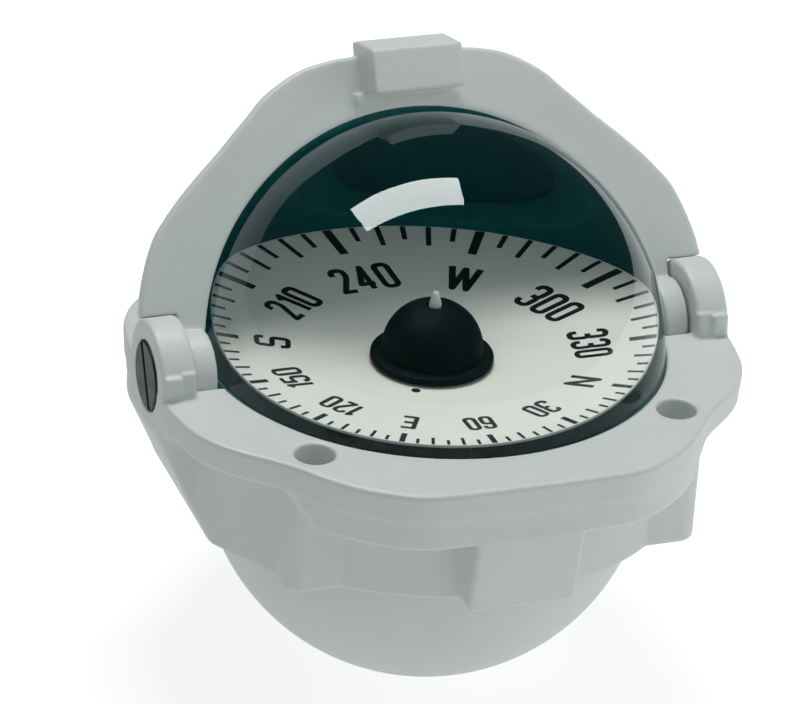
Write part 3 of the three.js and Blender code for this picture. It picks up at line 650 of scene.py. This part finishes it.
def add_bezel_ring():
    outline = [(43.9, -9.9), (45.0, -9.9), (45.0, -1.8), (43.9, -1.8)]
    turned_piece("bezel_ring_fine", outline, "case", "bezel_ring", FINISH["bezel"],
                 segments=240, radius=0.25)


def add_dome():
    rim_top, rim_bottom = -6.3, -8.6
    inner_r = DOME_R - DOME_WALL
    outline = (arc(0, DOME_Z, DOME_R, 90, 0, 90)
               + [(DOME_R, rim_top), (SEAT_R, rim_top), (SEAT_R, rim_bottom), (inner_r, rim_bottom)]
               + arc(0, DOME_Z, inner_r, 0, 90, 60))
    verts, faces = lathe(outline, segments=288)
    verts = [(max(-DOME_FLAT_X, min(DOME_FLAT_X, x)) if z < -6.0 else x, y, z) for x, y, z in verts]
    dome = make_object("dome_clear", verts, faces, "case",
                       [FINISH["dome_outer"], FINISH["dome_inner"]], "dome")
    # Faces of the outer sphere and the straight wall below it take the outer glass.
    on_outer = [abs(math.sqrt(x ** 2 + y ** 2 + max(0.0, z - DOME_Z) ** 2) - DOME_R) < 0.02
                for x, y, z in verts]
    inner = [0 if all(on_outer[i] for i in face) else 1 for face in faces]
    dome.data.polygons.foreach_set("material_index", np.array(inner, np.int32))


def add_capsule():
    def angle(z, r):
        return math.degrees(math.asin((z - CAPSULE_Z) / r))

    boss_angle = -math.degrees(math.acos(CAPSULE_BOSS_R / CAPSULE_OUTER_R))
    outline = ([(CAPSULE_HOLE_R, CAPSULE_FLOOR)]
               + arc(0, CAPSULE_Z, CAPSULE_INNER_R, angle(CAPSULE_FLOOR, CAPSULE_INNER_R),
                     angle(CAPSULE_TOP, CAPSULE_INNER_R), 40)
               + [(SEAT_R, CAPSULE_TOP), (SEAT_R, CAPSULE_LIP)]
               + arc(0, CAPSULE_Z, CAPSULE_OUTER_R, angle(CAPSULE_LIP, CAPSULE_OUTER_R),
                     boss_angle, 40)
               + [(CAPSULE_BOSS_R, CAPSULE_BOTTOM), (CAPSULE_HOLE_R, CAPSULE_BOTTOM)])
    turned_piece("capsule_shell", outline, "case", "capsule_base",
                 FINISH["capsule"], segments=216)


# ------------------------------------------------------------------ card, float and pin


def add_card():
    outline = [(CARD_HOLE_R, CARD_BOTTOM), (CARD_R, CARD_BOTTOM), (CARD_R, CARD_TOP),
               (CARD_HOLE_R, CARD_TOP)]
    turned_piece("card_plate", outline, "card", "card_disc", FINISH["card"],
                 segments=288, radius=0.12)


def add_float():
    dome = arc(0, -1.0, 7.2, 80.4, -6.4, 40)
    outline = [(0, 5.1), (1.2, 5.1)] + dome + [
        (8.7, -1.9), (8.7, -3.0), (7.2, -3.06), (7.2, -8.5), (3.2, -8.5), (3.2, -4.7), (0, -4.7)]
    turned_piece("card_float", outline, "card", "card_hub", FINISH["hub"],
                 segments=144, radius=0.35, steps=4)
    pin = [(0, 5.4), (0.95, 5.4), (0.95, 6.2), (0.42, 8.2), (0, 8.2)]
    turned_piece("card_float_pin", pin, "card", "hub_pin", FINISH["pin"],
                 segments=48, radius=0.12)


# ------------------------------------------------------------------ print on the card

PRINT_BOTTOM, PRINT_TOP = -3.355, -3.325
NORTH = -29.3                     # direction of the N mark, degrees from +X
TICK_R = 31.7                     # outer ends of the ticks
LABEL_R = 22.45                   # middle of the labels' height
GLYPH_H, GLYPH_STROKE, GLYPH_GAP = 4.6, 0.74, 0.36
CARDINALS = {0: "N", 90: "E", 180: "S", 270: "W"}
TICKS = [(30, 4.1, 1.0), (10, 3.2, 0.58), (5, 2.2, 0.56)]   # every so many degrees, length, width
DOT_ANGLE, DOT_FROM_AXIS, DOT_R = math.radians(-123.5), 9.8, 0.7


def disc(cx, cy, r, sides):
    return [(cx + r * math.cos(2 * math.pi * k / sides), cy + r * math.sin(2 * math.pi * k / sides))
            for k in range(sides)]


def stroke_polys(path, width, closed):
    """Rectangles and round joints covering a thick path."""
    polys = []
    count = len(path)
    for i in range(count if closed else count - 1):
        (x0, y0), (x1, y1) = path[i], path[(i + 1) % count]
        run = math.hypot(x1 - x0, y1 - y0)
        if run < 1e-6:
            continue
        nx, ny = -(y1 - y0) / run * width / 2, (x1 - x0) / run * width / 2
        polys.append([(x0 - nx, y0 - ny), (x1 - nx, y1 - ny), (x1 + nx, y1 + ny), (x0 + nx, y0 + ny)])
    for i, (x, y) in enumerate(path):
        if closed or 0 < i < count - 1:
            polys.append(disc(x, y, width / 2, 14))
    return polys


def round_corners(w, r):
    """Arcs at the bottom left, top left, top right and bottom right of a glyph, running clockwise."""
    top = GLYPH_H
    return (arc(r, r, r, 270, 180), arc(r, top - r, r, 180, 90),
            arc(w - r, top - r, r, 90, 0), arc(w - r, r, r, 0, -90))


def glyph_table():
    """Per character: width and stroke of its centre lines, open paths, closed paths."""
    top, mid = GLYPH_H, GLYPH_H / 2
    five, six = 0.6 * top, 0.58 * top          # tops of the bowls of 5 and 6
    w, r, thick = 1.56, 0.62, GLYPH_STROKE
    bl, tl, tr, br = round_corners(w, r)
    s_w, s_r = 2.35, 0.5
    s_bl, s_tl, s_tr, s_br = round_corners(s_w, s_r)
    return {
        "0": (w, thick, [], [bl + tl + tr + br]),
        "1": (0.72, thick, [[(0.0, top - 0.85), (0.72, top - 0.05), (0.72, 0)]], []),
        "2": (w, thick, [[(0, top - 1.05)] + tl + tr
                         + [(w, top - 1.25), (w - 0.12, top - 1.7), (0.0, 0.0), (w, 0)]], []),
        "3": (w, thick, [[(0, top - 1.0)] + tl + tr + arc(w - 0.5, mid + 0.5, 0.5, 0, -90)
                         + [(0.55, mid)],
                         [(w - 0.5, mid)] + arc(w - 0.5, mid - 0.5, 0.5, 90, 0) + br + bl
                         + [(0, 1.0)]], []),
        "4": (1.75, thick, [[(1.2, 0), (1.2, top), (0, 1.2), (1.75, 1.2)]], []),
        "5": (w, thick, [[(w, top), (0, top), (0, five - 0.2), (0.45, five)]
                         + arc(w - 0.55, five - 0.55, 0.55, 90, 0) + br + bl + [(0, 1.0)]], []),
        "6": (w, thick, [[(0, r), (0, six)] + tl + tr + [(w, top - 1.0)]],
              [bl + arc(0.55, six - 0.55, 0.55, 180, 90) + arc(w - 0.55, six - 0.55, 0.55, 90, 0)
               + br]),
        "N": (2.5, 0.8, [[(0, 0), (0, top), (2.5, 0), (2.5, top)]], []),
        "E": (2.1, 0.8, [[(2.1, top), (0, top), (0, 0), (2.1, 0)],
                         [(0, top * 0.5), (2.1 * 0.86, top * 0.5)]], []),
        "S": (s_w, 0.8, [[(s_w, top - 1.05)] + s_tr[::-1] + s_tl[::-1]
                         + arc(s_r, mid + s_r, s_r, 180, 270) + arc(s_w - s_r, mid - s_r, s_r, 90, 0)
                         + s_br + s_bl + [(0, 1.05)]], []),
        "W": (3.3, 0.82, [[(0, top), (0.82, 0), (3.3 / 2, top * 0.93), (3.3 - 0.82, 0),
                           (3.3, top)]], []),
    }


def glyph(entry):
    """Full width and polygons, with the lower left corner of the inked box at the origin."""
    width, stroke, open_paths, closed_paths = entry
    polys = []
    for paths, closed in ((closed_paths, True), (open_paths, False)):
        for path in paths:
            inset = [(x + stroke / 2, y + stroke / 2) for x, y in path]
            polys += stroke_polys(inset, stroke, closed)
    return width + stroke, polys


def union_prism(polys, verts, faces):
    """Adds one closed prism of the union of the polygons."""
    points, loops = [], []
    for poly in polys:
        loops.append(list(range(len(points), len(points) + len(poly))))
        points += [Vector(point) for point in poly]
    flat, _, triangles, _, _, sources = delaunay_2d_cdt(points, [], loops, 1, 1e-5)
    base, count = len(verts), len(flat)
    verts += [(p.x, p.y, PRINT_BOTTOM) for p in flat] + [(p.x, p.y, PRINT_TOP) for p in flat]
    edges = {}
    for (a, b, c), source in zip(triangles, sources):
        if not source:
            continue
        ab, ac = flat[b] - flat[a], flat[c] - flat[a]
        if ab.x * ac.y - ab.y * ac.x < 0:
            b, c = c, b
        faces.append([base + count + a, base + count + b, base + count + c])
        faces.append([base + a, base + c, base + b])
        for edge in ((a, b), (b, c), (c, a)):
            edges[edge] = True
    for a, b in edges:
        if (b, a) not in edges:
            faces.append([base + a, base + b, base + count + b, base + count + a])


def place(poly, heading, r0):
    """Puts local x clockwise and local y outward, with the origin at radius r0 on the heading."""
    a = math.radians(NORTH - heading)
    ox, oy = math.cos(a), math.sin(a)
    return [(ox * (r0 + y) + oy * x, oy * (r0 + y) - ox * x) for x, y in poly]


def add_card_print():
    verts, faces = [], []
    for heading in range(0, 360, 5):
        long, wide = next((size, w) for every, size, w in TICKS if heading % every == 0)
        tick = [(-wide / 2, TICK_R - long), (wide / 2, TICK_R - long),
                (wide / 2, TICK_R), (-wide / 2, TICK_R)]
        union_prism([place(tick, heading, 0)], verts, faces)
    table = glyph_table()
    height = GLYPH_H + GLYPH_STROKE
    for heading in range(0, 360, 30):
        glyphs = [glyph(table[ch]) for ch in CARDINALS.get(heading, str(heading))]
        left = -(sum(w for w, _ in glyphs) + GLYPH_GAP * (len(glyphs) - 1)) / 2
        for width, polys in glyphs:
            moved = [place([(x + left, y - height / 2) for x, y in poly], heading, LABEL_R)
                     for poly in polys]
            union_prism(moved, verts, faces)
            left += width + GLYPH_GAP
    dot = disc(DOT_FROM_AXIS * math.cos(DOT_ANGLE), DOT_FROM_AXIS * math.sin(DOT_ANGLE), DOT_R, 24)
    union_prism([dot], verts, faces)
    make_object("card_print", verts, faces, "card", [FINISH["ink"]], smooth=False)


# ------------------------------------------------------------------ hinge screws


def add_hinge_screw(name, side):
    grid = Grid((49.7, -7.4, -7.4), (61.5, 7.4, 7.4), SCREW_CELL)
    x, y, z = grid.x, grid.y, grid.z
    hinge_r = length(y, z)
    head = extrude(hinge_r - SCREW_HEAD_R, slab(x, 59.3, 61.3), 0.45)
    shank = extrude(hinge_r - 3.0, slab(x, 50.0, 60.0), 0.3)
    slot = box((x, 60.4, 63), (y, -0.65, 0.65), (z, -9, 9))
    verts, quads = surface(grid, cut(join(head, shank, 0.3), slot, 0.2))
    if side < 0:
        verts[:, 0] *= -1
        quads = quads[:, ::-1].copy()
    make_object("hinge_screw_" + name, verts, quads, "hood", [FINISH["screw"]],
                "pivot_screw_" + name, in_hood=True)


add_housing()
add_hood()
add_bowl()
add_bezel_ring()
add_dome()
add_capsule()
add_card()
add_float()
add_card_print()
add_hinge_screw("left", side=-1)
add_hinge_screw("right", side=1)

# ------------------------------------------------------------------ finishes of the kept CAD nodes

NODE_FINISH = {
    "dome_seal": "seal", "retaining_ring": "black", "diaphragm": "rubber",
    "diaphragm_ring": "black", "filler_plug": "brass", "filler_plug_washer": "rubber",
    "gimbal_bracket": "black", "bracket_screw_left": "brass", "bracket_screw_right": "brass",
    "gimbal_ring": "gimbal", "gimbal_pin_front": "steel", "gimbal_pin_rear": "steel",
    "pivot_carrier": "gimbal", "carrier_pin_left": "steel", "carrier_pin_right": "steel",
    "counterweight": "lead", "pivot_needle": "steel", "jewel_cup": "jewel",
    "magnet_left": "magnet", "magnet_right": "magnet", "pivot_bush_left": "nylon",
    "pivot_bush_right": "nylon", "lamp_holder": "black", "lamp": "lamp",
    "lamp_terminal_left": "brass", "lamp_terminal_right": "brass",
}
for node_name, finish_name in NODE_FINISH.items():
    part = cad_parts[node_name]
    if not part.material_slots:
        part.data.materials.append(FINISH[finish_name])
    for material_slot in part.material_slots:
        material_slot.material = FINISH[finish_name]

# ------------------------------------------------------------------ floor, camera and light, metres


def floor_glow(tree, bsdf, coords):
    """Light from within keeps the shadow on the floor faint; the floor throws less light than it
    shows to the camera, mostly so on the left."""
    bsdf.inputs["Emission Color"].default_value = (1.0, 1.0, 1.0, 1)
    across = add_node(tree, "SeparateXYZ", {0: coords}).outputs["X"]
    thrown = add_range(tree, across, source=(-0.25, 0.25), target=(0.31, 0.72))
    path = add_node(tree, "LightPath").outputs
    shown = 0.74
    pick = add_node(tree, "Mix", {0: path["Is Camera Ray"], 2: thrown, 3: shown}, data_type="FLOAT")
    tree.links.new(pick.outputs[0], bsdf.inputs["Emission Strength"])


def add_floor():
    half = 3
    mesh = bpy.data.meshes.new("floor")
    mesh.from_pydata([(-half, -half, 0), (half, -half, 0), (half, half, 0), (-half, half, 0)], [],
                     [[0, 1, 2, 3]])
    floor = bpy.data.objects.new("floor", mesh)
    bpy.context.scene.collection.objects.link(floor)
    mesh.materials.append(material("pale_floor", color=(0.46, 0.46, 0.46), rough=0.8, spec=0.0,
                                   vary=0.003, vary_scale=3.0, bumps=(), extra=floor_glow))


def add_camera():
    camera = bpy.data.cameras.new("camera")
    camera.sensor_width = 36.0
    camera.lens = 200.475
    camera.clip_start, camera.clip_end = 0.05, 50
    ob = bpy.data.objects.new("camera", camera)
    bpy.context.scene.collection.objects.link(ob)
    right = Vector((0.9414, -0.3324, 0.0562))
    up = Vector((0.1105, 0.4616, 0.8801))
    back = Vector((-0.3185, -0.8224, 0.4713))
    turn = Matrix((right, up, back)).transposed()
    ob.matrix_world = Matrix.Translation(Vector((-0.2967, -0.7479, 0.4995))) @ turn.to_4x4()
    bpy.context.scene.camera = ob


def add_area(name, direction, distance, width, height, radiance, color, diffuse=True, glossy=True,
             roll=0.0):
    """Area light that faces a point in the compass, from a direction and distance; roll in degrees."""
    light = bpy.data.lights.new(name, "AREA")
    light.shape = "RECTANGLE"
    light.size, light.size_y = width, height
    light.energy = radiance * math.pi * width * height
    light.color = color
    ob = bpy.data.objects.new(name, light)
    bpy.context.scene.collection.objects.link(ob)
    z = Vector(direction).normalized()
    x = Vector((1, 0, 0))
    x = (x - z * x.dot(z)).normalized()
    y = z.cross(x)
    cos, sin = math.cos(math.radians(roll)), math.sin(math.radians(roll))
    x, y = x * cos + y * sin, y * cos - x * sin
    spot = Vector((0, 0, 0.085)) + z * distance
    ob.matrix_world = Matrix.Translation(spot) @ Matrix((x, y, z)).transposed().to_4x4()
    ob.visible_diffuse = diffuse
    ob.visible_glossy = glossy
    ob.visible_transmission = glossy


def add_world():
    """Separate backgrounds for diffuse light, reflections and the camera."""
    world = bpy.data.worlds.new("studio")
    bpy.context.scene.world = world
    tree = empty_tree(world)
    out = add_node(tree, "OutputWorld")
    diffuse, glossy, seen = [
        add_node(tree, "Background", {"Color": color, "Strength": strength}).outputs[0]
        for color, strength in (((0.84, 0.98, 0.97, 1), 0.36), ((0.35, 0.62, 0.62, 1), 0.10),
                                ((1, 1, 1, 1), 1.0))]
    path = add_node(tree, "LightPath").outputs
    lit = add_node(tree, "MixShader", {"Fac": path["Is Glossy Ray"], 1: diffuse, 2: glossy})
    final = add_node(tree, "MixShader", {"Fac": path["Is Camera Ray"], 1: lit.outputs[0], 2: seen})
    tree.links.new(final.outputs[0], out.inputs[0])


add_floor()
add_camera()
add_area("key_softbox", direction=(0.06, 0.20, 0.97), distance=0.75, width=0.42, height=0.16,
         radiance=14.6, color=(1.0, 0.985, 0.955), glossy=False)
add_area("window_reflection", direction=(-0.134, 0.289, 0.948), distance=0.765, width=0.58,
         height=0.24, radiance=15.5, color=(0.97, 1.0, 0.97), diffuse=False, roll=-7.7)
add_area("right_fill", direction=(0.85, -0.45, 0.35), distance=0.9, width=0.6, height=0.6,
         radiance=0.9, color=(1.0, 1.0, 1.0), glossy=False)
add_world()
view = bpy.context.scene.view_settings
view.view_transform = "Standard"
view.look = "None"
